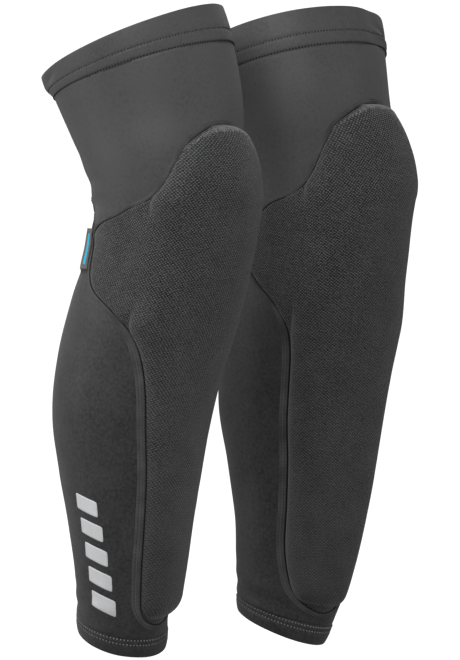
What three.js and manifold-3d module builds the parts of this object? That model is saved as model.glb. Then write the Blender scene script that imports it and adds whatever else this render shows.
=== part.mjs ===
// A pair of pull-on knee and shin guards, in the shape they take when worn: a stretch sleeve from above the
// knee to the ankle, with foam pads in a pocket under a tough knitted front panel.
// Millimetres, +Z up, fronts towards -Y. The origin is midway between the two knee centres.
import * as THREE from 'three';
import { mergeVertices } from 'three/addons/utils/BufferGeometryUtils.js';
import Module from 'manifold-3d';

const wasm = await Module();
wasm.setup();

// ---------------------------------------------------------------- driving dimensions

const kneeSpacing = 180; // between the two knee centres
const shinLength = 342; // knee centre down to the middle of the ankle edge
const thighLength = 130; // knee centre up to the middle of the thigh edge

const fabricWall = 1.5; // stretch jersey and front panel
const liningWall = 0.9; // pocket lining, and the silicone grippers
const hemWall = 2.4; // folded hem, two plies
const clearance = 0.3; // between pieces that are sewn or glued face to face
const panelGap = 0.8; // between the edges of two panels that a seam joins

const thighHemDepth = 25.5;
const ankleHemDepth = 14;
const thighStitchSpacing = 8; // between the two stitch rows of the thigh hem
const ankleStitchSpacing = 3.2; // and of the ankle hem
const stitchRowInset = 1.5; // from the hem's inner edge to its nearest stitch row
const threadSize = 0.9;
const gripperGrip = 0.3; // how far the silicone presses into the skin
const gripperInset = 5; // from the hem's open edge to the silicone
const thighGripperDepth = 16;
const ankleGripperDepth = 6;

const panelFoot = 8.23; // from the ankle hem up to the front panel's lower tip
const seamWidth = 6.5; // flat seam band that covers the joint of two panels
const seamThickness = 0.8;
const seamClearance = 0.7; // the band bridges the step between the two panels
const padMargin = 6; // from the front panel's edge to the foam
const padEdgeRadius = 11; // round-over of the foam's border
const kneePadReach = 54; // degrees that the knee foam reaches to each side
const foamEdge = 1.5; // thickness of the foam at its border

const labelLength = 32;
const labelReach = 8; // from the seam to the label's fold, along the sleeve
const labelStandOut = 2.5; // how far that fold stands off
const labelThickness = 1.6;
const labelTop = -17; // height of the label's upper end

const flashCount = 5; // reflective bars on the outer calf
const flashHeight = 12;
const flashPitch = 18.5;
const flashWidth = 19;
const flashSlant = 5; // how far a bar's front end hangs below its back end
const flashLean = 3.2; // degrees that each lower bar steps forward
const flashRise = 110; // from the ankle edge up to the top bar's middle
const flashAngle = 81; // degrees from the front, at the middle of the top bar
const flashThickness = 0.6;

// How each guard sits on its leg: the mm by which its thigh edge lies lower and its front panel's crown higher.
const rightFit = { hemLower: 0, crownRise: 0 };
const leftFit = { hemLower: 4, crownRise: 11 };

// Sections of the leg that fills the sleeve. Levels run from -1 at the ankle edge over 0 at the knee centre
// to 1 at the thigh edge. Then: how far the section's middle lies behind the knee centre and outwards of it,
// its front, rear and side radii, how much fuller it is at its front outer and rear inner corners, and the
// slopes, in degrees, that lift its front and its outer side.
const legSections = [
  [-1.0, 46, 3.5, 33.5, 33.5, 33.5, 0, -23, -8],
  [-0.9, 41, 8, 38, 37, 37.5, 0.08, -13, -5],
  [-0.76, 37, 12, 45, 43.5, 43.5, 0.08, -8, -3],
  [-0.62, 35.5, 13.5, 52.5, 51.5, 51, 0.07, -5, -1],
  [-0.49, 34.5, 12.5, 57.5, 59, 58, 0.06, -4, 0],
  [-0.35, 26, 8.5, 59.5, 61.5, 60.5, 0.035, -3, 0],
  [-0.215, 13.5, 3.5, 59, 61, 60.5, 0.01, -1, 0],
  [-0.1, 3, 1, 56.5, 56, 58.5, 0, 0, 0],
  [-0.02, 0, 0, 56, 53.5, 59, 0, 0, 0],
  [0.12, 2, 0, 59.5, 55.5, 60.5, 0.02, 2, 0],
  [0.32, 7.5, 0, 63.5, 59, 63.5, 0.01, 5, 0],
  [0.52, 14, -1, 66, 62.5, 66.5, -0.02, 11, -1],
  [0.76, 23.5, -1, 69.5, 69, 70.5, 0, 18.5, -3],
  [1.0, 36, 0, 73, 74, 74, 0.04, 23, -7],
];

// Outline of the front panel from its lower tip to its crown: level, then the degrees from the front to its
// outer and its inner edge. A negative angle lies across the front line.
const panelOutline = [
  [-0.935, 2, 2],
  [-0.925, 15, 20],
  [-0.905, 24, 38],
  [-0.868, 29, 52],
  [-0.8, 30, 60],
  [-0.692, 29.5, 60],
  [-0.548, 30.5, 58],
  [-0.432, 35, 57],
  [-0.34, 44, 58],
  [-0.282, 56, 63],
  [-0.23, 77, 76],
  [-0.184, 100, 94],
  [-0.138, 111, 110],
  [-0.092, 115, 115],
  [-0.06, 118, 118],
  [-0.035, 106, 108],
  [-0.01, 82, 92],
  [0.045, 61, 68],
  [0.12, 49.5, 54],
  [0.232, 40, 44],
  [0.325, 31, 34],
  [0.364, 25, 27],
  [0.393, 19, 19],
  [0.421, 10, 9],
  [0.428, 5, 3],
];

// Height of the foam above the sleeve, by level.
const padThickness = [
  [-1, 11],
  [-0.6, 10.5],
  [-0.25, 11.5],
  [-0.08, 13],
  [0.03, 15.5],
  [0.22, 15],
  [0.4, 12.5],
];

// The panel behind the knee: it spans between the two wings of the front panel.
const backPanelLow = -50; // height of its lower edge
const backPanelCorner = -14; // height of its upper edge at the wings
const backPanelRise = 46; // mm that its upper edge climbs from the wings to the middle of the back
const wingAngle = 118; // degrees from the front to the back edge of the wings

const sleeveStep = 15; // degrees between the sleeve's vertical facets
const marginColumns = 3; // facets across the front panel from each edge to the foam
const foamColumns = 6; // facets across the foam
const shinFoamRow = 2; // outline row where the shin foam starts
const splitRow = 11; // row where it stops; the knee foam starts one row higher, so the guard can bend between
const topFoamRow = 22; // row where the knee foam stops
const wingTopRow = 15; // row where the outer and inner seams end and the top seam starts
const seamStart = 0.35; // row where the outer and inner seams start

// ---------------------------------------------------------------- materials

const cloth = (color, roughness) => new THREE.MeshStandardMaterial({ color, roughness, metalness: 0 });
const jersey = cloth(0x3f3f41, 0.62);
const abrasionKnit = cloth(0x373738, 0.85);
const mesh3d = cloth(0x2e2e30, 0.9);
const liningCloth = cloth(0x2a2a2c, 0.9);
const seamTape = cloth(0x47474a, 0.8);
const threadMaterial = cloth(0x232325, 0.7);
const silicone = cloth(0x1c1d1f, 0.35);
const foam = cloth(0x5b5d60, 0.95);
const reflective = new THREE.MeshStandardMaterial({ color: 0xd2d3d4, roughness: 0.4, metalness: 0.15 });
const labelWeave = cloth(0x7b7f83, 0.7);

// ---------------------------------------------------------------- curves and the leg form

const radians = THREE.MathUtils.degToRad;
const degrees = THREE.MathUtils.radToDeg;
const lerp = THREE.MathUtils.lerp;

function hermite(a, b, slopeA, slopeB, t) {
  const s = 1 - t;
  return a * s * s * (1 + 2 * t) + b * t * t * (3 - 2 * t) + slopeA * t * s * s - slopeB * t * t * s;
}

// A smooth curve through rows of numbers, read by a running row number.
function byRow(rows) {
  const last = rows.length - 1;
  const row = (i) => rows[THREE.MathUtils.clamp(i, 0, last)];
  return (k) => {
    const i = Math.min(Math.floor(k), last - 1);
    return rows[0].map((_, c) => {
      const slopeA = (row(i + 1)[c] - row(i - 1)[c]) / 2;
      const slopeB = (row(i + 2)[c] - row(i)[c]) / 2;
      return hermite(row(i)[c], row(i + 1)[c], slopeA, slopeB, k - i);
    });
  };
}

// A smooth curve through rows of [position, value, ...], read by position.
function byPosition(rows) {
  const last = rows.length - 1;
  return (position) => {
    const x = THREE.MathUtils.clamp(position, rows[0][0], rows[last][0]);
    let i = 0;
    while (i < last - 1 && x > rows[i + 1][0]) i += 1;
    const span = rows[i + 1][0] - rows[i][0];
    const slope = (j, c) => {
      const low = Math.max(j - 1, 0);
      const high = Math.min(j + 1, last);
      return ((rows[high][c] - rows[low][c]) / (rows[high][0] - rows[low][0])) * span;
    };
    const t = (x - rows[i][0]) / span;
    return rows[0].slice(1).map((_, n) => {
      const c = n + 1;
      return hermite(rows[i][c], rows[i + 1][c], slope(i, c), slope(i + 1, c), t);
    });
  };
}

const legForm = byPosition(legSections);
const foamHeight = byPosition(padThickness);

const height = (level) => (level < 0 ? level * shinLength : level * thighLength);
const levelOf = (z) => (z < 0 ? z / shinLength : z / thighLength);

// One guard's form: the same for both but for how its thigh edge sits.
function guardForm({ hemLower }) {

  // A point on the sleeve at a level and an angle from the front towards the outer side, lifted off the leg.
  function point(at, angle, lift) {
    const [back, out, front, rear, side, skew, frontRise, outerRise] = legForm(at);
    const a = radians(angle);
    const depth = Math.cos(a) > 0 ? front : rear;
    const full = 1 + skew * Math.sin(2 * a);
    const grow = 2 * skew * Math.cos(2 * a);
    const normal = new THREE.Vector2(
      depth * (full * Math.sin(a) - grow * Math.cos(a)),
      -side * (full * Math.cos(a) + grow * Math.sin(a)),
    ).normalize();
    const across = full * side * Math.sin(a) + lift * normal.x;
    const along = -full * depth * Math.cos(a) + lift * normal.y;
    const tilt = radians(frontRise);
    const lower = hemLower * THREE.MathUtils.smoothstep(at, 0.35, 0.85);
    const drop = along * Math.sin(tilt) - across * Math.tan(radians(outerRise)) + lower;
    return new THREE.Vector3(out + across, back + along * Math.cos(tilt), height(at) - drop);
  }

  // Degrees round the leg that one millimetre takes at a level.
  const degreesPerMm = (at) => degrees(1 / legForm(at)[4]);

  return { point, degreesPerMm };
}

// ---------------------------------------------------------------- solids

// A closed solid between two skins. at(v, u, skin) gives the point of skin 0 or 1; a ring joins its sides.
function shell(rows, columns, at, ring = false) {
  const positions = [];
  const index = [];
  const wide = ring ? columns : columns + 1;
  for (const skin of [0, 1])
    for (let i = 0; i <= rows; i += 1)
      for (let j = 0; j < wide; j += 1) positions.push(...at(i / rows, j / columns, skin).toArray());
  const id = (skin, i, j) => skin * (rows + 1) * wide + i * wide + (ring ? j % columns : j);
  const quad = (a, b, c, d) => index.push(a, b, c, a, c, d);
  for (let i = 0; i < rows; i += 1)
    for (let j = 0; j < columns; j += 1) {
      quad(id(1, i, j), id(1, i, j + 1), id(1, i + 1, j + 1), id(1, i + 1, j));
      quad(id(0, i, j), id(0, i + 1, j), id(0, i + 1, j + 1), id(0, i, j + 1));
    }
  for (let j = 0; j < columns; j += 1) {
    quad(id(0, 0, j), id(0, 0, j + 1), id(1, 0, j + 1), id(1, 0, j));
    quad(id(0, rows, j), id(1, rows, j), id(1, rows, j + 1), id(0, rows, j + 1));
  }
  if (!ring)
    for (let i = 0; i < rows; i += 1) {
      quad(id(0, i, 0), id(1, i, 0), id(1, i + 1, 0), id(0, i + 1, 0));
      quad(id(0, i, columns), id(0, i + 1, columns), id(1, i + 1, columns), id(1, i, columns));
    }
  const geometry = new THREE.BufferGeometry();
  geometry.setAttribute('position', new THREE.Float32BufferAttribute(positions, 3));
  geometry.setIndex(index);
  return geometry;
}

function solid(geometry) {
  const bare = geometry.clone();
  bare.deleteAttribute('normal');
  bare.deleteAttribute('uv');
  const merged = mergeVertices(bare, 1e-4);
  return new wasm.Manifold(
    new wasm.Mesh({
      numProp: 3,
      vertProperties: merged.attributes.position.array,
      triVerts: new Uint32Array(merged.index.array),
    }),
  );
}

function geometryOf(manifold) {
  const mesh = manifold.getMesh();
  const geometry = new THREE.BufferGeometry();
  geometry.setAttribute('position', new THREE.BufferAttribute(new Float32Array(mesh.vertProperties), 3));
  geometry.setIndex(new THREE.BufferAttribute(new Uint32Array(mesh.triVerts), 1));
  return geometry;
}

const cut = (geometry, tool) => geometryOf(solid(geometry).subtract(solid(tool)));

// ---------------------------------------------------------------- one guard

// Builds one guard with its outer side towards +X. Every mesh name starts with the guard's own.
function buildGuard(side, fit) {
  const form = guardForm(fit);
  const crown = height(panelOutline[panelOutline.length - 1][0]);
  const above = 1 + fit.crownRise / crown;
  const below = levelOf(ankleHemDepth + panelFoot - shinLength) / panelOutline[0][0];
  const outlineRow = byRow(panelOutline.map(([at, ...edges]) => [at * (at > 0 ? above : below), ...edges]));
  const group = new THREE.Group();
  const ringColumns = Math.round(360 / sleeveStep);
  const panelLift = liningWall + clearance; // inner face of every outer panel
  const outerLift = panelLift + fabricWall;
  const hemLift = panelLift + hemWall;
  const lastRow = panelOutline.length - 1;
  const step = (at, mm) => levelOf(height(at) + mm);

  function add(name, geometry, material) {
    const mesh = new THREE.Mesh(geometry, material);
    mesh.name = `${side}_${name}`;
    group.add(mesh);
  }

  // A full ring of the sleeve between two edges, each a level for every angle.
  function band(rows, low, high, liftIn, liftOut) {
    return shell(
      rows,
      ringColumns,
      (v, u, skin) => {
        const angle = u * 360;
        return form.point(lerp(low(angle), high(angle), v), angle, skin ? liftOut : liftIn);
      },
      true,
    );
  }

  // ---- the front panel's outline, and the foam under it

  // Level and edge angles of an outline row, with the edges moved out by so many millimetres.
  function outlineAt(k, spread) {
    const [at, outer, inner] = outlineRow(k);
    const more = spread * form.degreesPerMm(at);
    return [at, outer + more, inner + more];
  }

  // Angles from the inner to the outer foam edge at an outline row.
  function foamEdges(k) {
    const [at, outer, inner] = outlineAt(k, -padMargin);
    const room = 1.5 * form.degreesPerMm(at);
    const right = Math.min(outer, kneePadReach);
    const left = Math.max(-inner, -kneePadReach);
    return right - left > 2 * room ? [left, right] : [(left + right) / 2 - room, (left + right) / 2 + room];
  }

  // Column j of the front panel at row k: margin columns first, then the foam's, then margin columns.
  function columnAngle(k, j, spread) {
    const [, outer, inner] = outlineAt(k, spread);
    const [left, right] = foamEdges(k);
    if (j < marginColumns) return lerp(-inner, left, j / marginColumns);
    if (j > marginColumns + foamColumns) return lerp(right, outer, (j - marginColumns - foamColumns) / marginColumns);
    const t = (j - marginColumns) / foamColumns;
    return lerp(left, right, lerp(t, (1 - Math.cos(Math.PI * t)) / 2, 0.5));
  }

  // Height of the foam above its own bed at row k and an angle: 0 outside it.
  function foamTop(k, angle) {
    const at = outlineRow(k)[0];
    const [left, right] = foamEdges(k);
    const ends = Math.min(k - shinFoamRow, topFoamRow - k);
    const sides = Math.min(angle - left, right - angle);
    if (ends < -1e-6 || sides < -1e-6) return 0;
    const low = height(at) - height(outlineRow(shinFoamRow)[0]);
    const high = height(outlineRow(topFoamRow)[0]) - height(at);
    const inside = Math.min(sides / form.degreesPerMm(at), low, high);
    const share = THREE.MathUtils.clamp(inside / padEdgeRadius, 0, 1);
    return lerp(foamEdge, foamHeight(at)[0], Math.sqrt(1 - (1 - share) ** 2));
  }

  // A stretch of the front stack as a solid, between two outline rows and two columns.
  function stack(from, to, first, last, spread, lift) {
    return shell(to - from, last - first, (v, u, skin) => {
      const k = lerp(from, to, v);
      const angle = columnAngle(k, first + u * (last - first), spread);
      return form.point(outlineRow(k)[0], angle, lift(k, angle, skin));
    });
  }
  const allColumns = 2 * marginColumns + foamColumns;

  // A point beside the front panel's edge, so many millimetres out from it: its height and its angle. Rows
  // count up the outer edge, and on from the crown down the inner edge.
  function besideEdge(k, aside) {
    const edge = (row) => {
      const up = row <= lastRow;
      const [at, outer, inner] = outlineRow(up ? row : 2 * lastRow - row);
      return [height(at), up ? outer : -inner, form.degreesPerMm(at)];
    };
    const [z, angle, perMm] = edge(k);
    const [zAfter, angleAfter] = edge(k + 0.2);
    const [zBefore, angleBefore] = edge(k - 0.2);
    const run = new THREE.Vector2((angleAfter - angleBefore) / perMm, zAfter - zBefore).normalize();
    return [z - run.x * aside, angle + run.y * aside * perMm];
  }

  // The opening that the front panel leaves in the sleeve, as a cutter.
  const window = shell(lastRow, allColumns, (v, u, skin) => {
    const [zOut, angleOut] = besideEdge(v * lastRow, panelGap);
    const [zIn, angleIn] = besideEdge((2 - v) * lastRow, panelGap);
    const lift = skin ? outerLift + 4 : panelLift - 3;
    return form.point(levelOf(lerp(zIn, zOut, u)), lerp(angleIn, angleOut, u), lift);
  });

  // ---- the sleeve: calf panel, panel behind the knee, thigh panel

  const ankleHemTop = levelOf(-shinLength + ankleHemDepth);
  const thighHemLow = levelOf(thighLength - thighHemDepth);
  const backPanelHigh = (angle) => {
    const share = THREE.MathUtils.clamp((angle - wingAngle) / (360 - 2 * wingAngle), 0, 1);
    return levelOf(backPanelCorner + backPanelRise * Math.sin(Math.PI * share));
  };
  const backPanelFoot = levelOf(backPanelLow);

  const calf = band(13, () => step(ankleHemTop, clearance), () => backPanelFoot, panelLift, outerLift);
  add('calf_panel', cut(calf, window), jersey);

  const behindKnee = band(5, () => step(backPanelFoot, panelGap), backPanelHigh, panelLift, outerLift);
  const frontBlock = shell(2, 12, (v, u, skin) => {
    const angle = lerp(-wingAngle + 6, wingAngle - 6, u);
    return form.point(lerp(-0.25, 0.35, v), angle, skin ? 20 : -10);
  });
  add('knee_back_panel', cut(geometryOf(solid(behindKnee).subtract(solid(window))), frontBlock), mesh3d);

  const thighTube = band(
    10,
    (angle) => step(backPanelHigh(angle), panelGap),
    () => step(thighHemLow, -clearance),
    panelLift,
    outerLift,
  );
  add('thigh_panel', cut(thighTube, window), jersey);

  // ---- hems: a folded band at each end, two stitch rows on it, and a silicone gripper inside

  add('thigh_hem', band(2, () => thighHemLow, () => 1, panelLift, hemLift), jersey);
  add('ankle_hem', band(1, () => -1, () => ankleHemTop, panelLift, hemLift), jersey);

  function ring(name, middle, depth, lift, thickness, material) {
    const low = levelOf(middle - depth / 2);
    const high = levelOf(middle + depth / 2);
    add(name, band(1, () => low, () => high, lift, lift + thickness), material);
  }
  const stitchRow = (name, middle) =>
    ring(name, middle, threadSize, hemLift + clearance, threadSize, threadMaterial);
  const thighRow = thighLength - thighHemDepth + stitchRowInset;
  const ankleRow = -shinLength + ankleHemDepth - stitchRowInset;
  stitchRow('thigh_stitch_lower', thighRow);
  stitchRow('thigh_stitch_upper', thighRow + thighStitchSpacing);
  stitchRow('ankle_stitch_upper', ankleRow);
  stitchRow('ankle_stitch_lower', ankleRow - ankleStitchSpacing);

  const thighGrip = thighLength - gripperInset - thighGripperDepth / 2;
  const ankleGrip = -shinLength + gripperInset + ankleGripperDepth / 2;
  ring('thigh_gripper', thighGrip, thighGripperDepth, -gripperGrip, liningWall, silicone);
  ring('ankle_gripper', ankleGrip, ankleGripperDepth, -gripperGrip, liningWall, silicone);

  // ---- the front: lining, foam pads, and the knitted panel over them

  const lining = (k, angle, skin) => (skin ? liningWall : 0);
  add('pocket_lining', stack(0, lastRow, 0, allColumns, 0, lining), liningCloth);

  const foamLift = (k, angle, skin) => panelLift + (skin ? foamTop(k, angle) : 0);
  const foamFirst = marginColumns;
  const foamLast = marginColumns + foamColumns;
  add('shin_pad', stack(shinFoamRow, splitRow, foamFirst, foamLast, 0, foamLift), foam);
  add('knee_pad', stack(splitRow + 1, topFoamRow, foamFirst, foamLast, 0, foamLift), foam);

  const overFoam = (k, angle, skin) => {
    const top = foamTop(k, angle);
    return panelLift + (top > 0 ? top + clearance : 0) + (skin ? fabricWall : 0);
  };
  add('front_panel', stack(0, lastRow, 0, allColumns, 0, overFoam), abrasionKnit);

  // ---- flat seams beside the front panel's edge

  function seam(name, steps, from, to) {
    const geometry = shell(steps, 1, (v, u, skin) => {
      const [z, angle] = besideEdge(lerp(from, to, v), panelGap + u * seamWidth);
      return form.point(levelOf(z), angle, outerLift + seamClearance + (skin ? seamThickness : 0));
    });
    add(name, geometry, seamTape);
  }
  seam('outer_seam', 34, seamStart, wingTopRow);
  seam('top_seam', 36, wingTopRow + 0.4, 2 * lastRow - wingTopRow - 0.4);
  seam('inner_seam', 34, 2 * lastRow - wingTopRow, 2 * lastRow - seamStart);

  // ---- side label in the seam of the outer wing, and reflective bars on the outer calf

  const label = shell(3, 3, (v, u, skin) => {
    const at = levelOf(lerp(labelTop - labelLength, labelTop, v));
    const angle = wingAngle + 1 + (1 + u * labelReach) * form.degreesPerMm(at);
    const lift = outerLift + seamClearance + seamThickness + clearance + labelStandOut * u * u;
    return form.point(at, angle, lift + (skin ? labelThickness : 0));
  });
  add('side_label', label, labelWeave);

  for (let n = 0; n < flashCount; n += 1) {
    const middle = flashRise - shinLength - n * flashPitch;
    const bar = shell(1, 3, (v, u, skin) => {
      const at = levelOf(middle + (v - 0.5) * flashHeight + (u - 0.5) * flashSlant);
      const width = flashWidth * form.degreesPerMm(at);
      const angle = flashAngle - n * flashLean + (u - 0.5) * width;
      return form.point(at, angle, outerLift + clearance + (skin ? flashThickness : 0));
    });
    add(`reflective_bar_${n + 1}`, bar, reflective);
  }
  return group;
}

// ---------------------------------------------------------------- the pair

// Mirrors a guard built with its outer side towards +X, and turns its faces the right way round again.
function mirrored(group) {
  for (const mesh of group.children) {
    mesh.geometry.scale(-1, 1, 1);
    const corners = mesh.geometry.index.array;
    for (let i = 0; i < corners.length; i += 3) [corners[i], corners[i + 1]] = [corners[i + 1], corners[i]];
  }
  return group;
}

const rightGuard = mirrored(buildGuard('right', rightFit));
rightGuard.position.x = -kneeSpacing / 2;
const leftGuard = buildGuard('left', leftFit);
leftGuard.position.x = kneeSpacing / 2;

const pair = new THREE.Group();
pair.add(rightGuard, leftGuard);

export default pair;
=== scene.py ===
"""The looks of a pair of pull-on knee and shin guards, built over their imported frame.

Lengths are in millimetres until a mesh is made, and angles are in degrees round the leg, from the front
towards the outer side. A guard is shaped with its outer side towards +X, and the right one is mirrored.
"""

import math

import bpy
import numpy as np
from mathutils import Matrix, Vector


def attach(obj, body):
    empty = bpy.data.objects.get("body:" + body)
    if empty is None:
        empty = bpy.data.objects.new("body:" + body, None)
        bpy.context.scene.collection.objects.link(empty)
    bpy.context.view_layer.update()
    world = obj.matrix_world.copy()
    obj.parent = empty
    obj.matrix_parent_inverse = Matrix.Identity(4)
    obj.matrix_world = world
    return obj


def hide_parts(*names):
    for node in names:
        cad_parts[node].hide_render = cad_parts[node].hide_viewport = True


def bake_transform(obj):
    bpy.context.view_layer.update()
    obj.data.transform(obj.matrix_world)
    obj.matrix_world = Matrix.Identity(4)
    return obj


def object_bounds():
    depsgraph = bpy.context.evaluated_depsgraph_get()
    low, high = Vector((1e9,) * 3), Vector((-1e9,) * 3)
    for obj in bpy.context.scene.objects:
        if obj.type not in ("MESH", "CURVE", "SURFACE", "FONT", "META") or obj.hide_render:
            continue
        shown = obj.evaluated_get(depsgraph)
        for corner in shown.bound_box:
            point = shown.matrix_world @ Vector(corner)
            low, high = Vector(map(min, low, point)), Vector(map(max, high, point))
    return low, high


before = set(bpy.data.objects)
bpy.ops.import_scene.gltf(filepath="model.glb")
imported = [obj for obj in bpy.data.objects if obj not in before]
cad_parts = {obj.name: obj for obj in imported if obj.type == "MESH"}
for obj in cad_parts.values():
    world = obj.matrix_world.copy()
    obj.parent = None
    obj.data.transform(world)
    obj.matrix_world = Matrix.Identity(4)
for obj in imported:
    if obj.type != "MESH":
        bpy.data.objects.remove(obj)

cad_box = [list(corner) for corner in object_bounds()]

# ---------------- camera

AZIMUTH, ELEVATION, DISTANCE = -47.5, 2.5, 12.0
VIEW_HEIGHT = 0.524  # metres that the picture's height spans at the object
AIM = Vector((0.0022, 0.0176, -0.1012))


def add_camera():
    data = bpy.data.cameras.new("camera")
    data.sensor_width = 36
    data.lens = 36 * DISTANCE / VIEW_HEIGHT
    data.clip_end = 60
    camera = bpy.data.objects.new("camera", data)
    bpy.context.scene.collection.objects.link(camera)
    a, e = math.radians(AZIMUTH), math.radians(ELEVATION)
    back = Vector((math.sin(a) * math.cos(e), -math.cos(a) * math.cos(e), math.sin(e)))
    camera.location = AIM + back * DISTANCE
    camera.rotation_euler = back.to_track_quat("Z", "Y").to_euler()
    bpy.context.scene.camera = camera


add_camera()

# ---------------- the form, as in the CAD part

KNEE_SPACING = 180
SHIN_LENGTH = 342
THIGH_LENGTH = 130

# How each guard sits on its leg: the millimetres by which its thigh edge lies lower and its front panel's
# crown higher.
HEM_LOWER = {"right": 0, "left": 4}
CROWN_RISE = {"right": 0, "left": 11}

FABRIC_WALL = 1.5
PANEL_LIFT = 1.2
OUTER_LIFT = PANEL_LIFT + FABRIC_WALL
HEM_WALL = 2.4
HEM_LIFT = PANEL_LIFT + HEM_WALL
THIGH_HEM = 25.5
ANKLE_HEM = 14
PAD_MARGIN = 6
PAD_RADIUS = 12
PAD_REACH = 54
PAD_TIP = 1.5  # half width that a pad keeps at its tips

# Level, then the section's middle behind and outwards, its front, rear and side radii, its fuller corners,
# and the slopes that lift its front and its outer side.
LEG = [
    [-1.0, 46, 3.5, 33.5, 33.5, 33.5, 0, -23, -8],
    [-0.9, 41, 8, 38, 37, 37.5, 0.08, -13, -5],
    [-0.76, 37, 12, 45, 43.5, 43.5, 0.08, -8, -3],
    [-0.62, 35.5, 13.5, 52.5, 51.5, 51, 0.07, -5, -1],
    [-0.49, 34.5, 12.5, 57.5, 59, 58, 0.06, -4, 0],
    [-0.35, 26, 8.5, 59.5, 61.5, 60.5, 0.035, -3, 0],
    [-0.215, 13.5, 3.5, 59, 61, 60.5, 0.01, -1, 0],
    [-0.1, 3, 1, 56.5, 56, 58.5, 0, 0, 0],
    [-0.02, 0, 0, 56, 53.5, 59, 0, 0, 0],
    [0.12, 2, 0, 59.5, 55.5, 60.5, 0.02, 2, 0],
    [0.32, 7.5, 0, 63.5, 59, 63.5, 0.01, 5, 0],
    [0.52, 14, -1, 66, 62.5, 66.5, -0.02, 11, -1],
    [0.76, 23.5, -1, 69.5, 69, 70.5, 0, 18.5, -3],
    [1.0, 36, 0, 73, 74, 74, 0.04, 23, -7],
]

# The front panel's outline from its lower tip to its crown: level, outer angle, inner angle.
OUTLINE = [
    [-0.935, 2, 2], [-0.925, 19, 24], [-0.905, 27, 41], [-0.868, 29, 52],
    [-0.8, 30, 60], [-0.692, 29.5, 60], [-0.548, 30.5, 58], [-0.432, 35, 57],
    [-0.34, 44, 58], [-0.282, 56, 63], [-0.23, 77, 76], [-0.184, 100, 94],
    [-0.138, 111, 110], [-0.092, 115, 115], [-0.06, 118, 118], [-0.035, 106, 108],
    [-0.01, 82, 92], [0.045, 61, 68], [0.12, 49.5, 54], [0.232, 40, 44],
    [0.325, 31, 34], [0.364, 25, 27], [0.393, 19, 19], [0.421, 10, 9],
    [0.428, 5, 3],
]
LAST_ROW = len(OUTLINE) - 1

# Outline rows where each foam pad starts and ends.
FOAM_ROWS = {"shin": (2, 11), "knee": (11.35, 22)}

# Foam thickness by level.
PAD = [[-1, 11], [-0.6, 10.5], [-0.25, 11.5], [-0.08, 13], [0.03, 15.5], [0.22, 15], [0.4, 12.5]]

BACK_LOW = -50
BACK_CORNER = -14
BACK_RISE = 46
WING_ANGLE = 118


def hermite(a, b, slope_a, slope_b, t):
    s = 1 - t
    return a * s * s * (1 + 2 * t) + b * t * t * (3 - 2 * t) + slope_a * t * s * s - slope_b * t * t * s


def neighbours(count):
    """For each of so many rows, the row before it and the row after it."""
    row = np.arange(count)
    return np.maximum(row - 1, 0), np.minimum(row + 1, count - 1)


def by_position(rows):
    """Reads a table smoothly, by the value in its first column."""
    rows = np.array(rows, float)
    x, y = rows[:, 0], rows[:, 1:]
    low, high = neighbours(len(x))
    slope = (y[high] - y[low]) / (x[high] - x[low])[:, None]

    def read(at):
        at = np.clip(at, x[0], x[-1])
        i = np.clip(np.searchsorted(x, at, side="right") - 1, 0, len(x) - 2)
        span = (x[i + 1] - x[i])[..., None]
        return hermite(y[i], y[i + 1], slope[i] * span, slope[i + 1] * span, (at - x[i])[..., None] / span)

    return read


def by_row(rows):
    """Reads a table smoothly, by the number of its row."""
    rows = np.array(rows, float)
    last = len(rows) - 1
    low, high = neighbours(len(rows))
    slope = (rows[high] - rows[low]) / 2

    def read(k):
        k = np.clip(k, 0, last)
        i = np.minimum(np.floor(k).astype(int), last - 1)
        return hermite(rows[i], rows[i + 1], slope[i], slope[i + 1], (k - i)[..., None])

    return read


leg = by_position(LEG)
foam_height = by_position(PAD)


def level_of(z):
    z = np.asarray(z, float)
    return np.where(z < 0, z / SHIN_LENGTH, z / THIGH_LENGTH)


def height(level):
    return np.where(level < 0, level * SHIN_LENGTH, level * THIGH_LENGTH)


def smoothstep(x, low, high):
    t = np.clip((x - low) / (high - low), 0, 1)
    return t * t * (3 - 2 * t)


def mm_per_degree(z):
    return np.radians(leg(level_of(z))[..., 4])


def outline_of(side):
    """The outline's rows for one guard, whose crown may lie higher."""
    rows = np.array(OUTLINE, float)
    stretch = 1 + CROWN_RISE[side] / (rows[-1, 0] * THIGH_LENGTH)
    rows[:, 0] *= np.where(rows[:, 0] > 0, stretch, 1)
    return by_row(rows)


OUTLINE_ROW = {side: outline_of(side) for side in CROWN_RISE}


def point(z, angle, lift, side):
    """Places in metres for heights, angles and lifts off the leg, on one guard."""
    z, angle, lift = np.broadcast_arrays(*(np.asarray(v, float) for v in (z, angle, lift)))
    at = level_of(z)
    back, out, front, rear, wide, skew, front_rise, outer_rise = np.moveaxis(leg(at), -1, 0)
    a = np.radians(angle)
    depth = np.where(np.cos(a) > 0, front, rear)
    full = 1 + skew * np.sin(2 * a)
    grow = 2 * skew * np.cos(2 * a)
    nx = depth * (full * np.sin(a) - grow * np.cos(a))
    ny = -wide * (full * np.cos(a) + grow * np.sin(a))
    n = np.hypot(nx, ny)
    across = full * wide * np.sin(a) + lift * nx / n
    along = -full * depth * np.cos(a) + lift * ny / n
    tilt, roll = np.radians(front_rise), np.radians(outer_rise)
    x = KNEE_SPACING / 2 + out + across
    if side == "right":
        x = -x
    y = back + along * np.cos(tilt)
    lower = HEM_LOWER[side] * smoothstep(at, 0.35, 0.85)
    up = z - lower - along * np.sin(tilt) + across * np.tan(roll)
    return np.stack([x, y, up], -1) / 1000


# ---------------- the front panel's outline, laid flat


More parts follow.
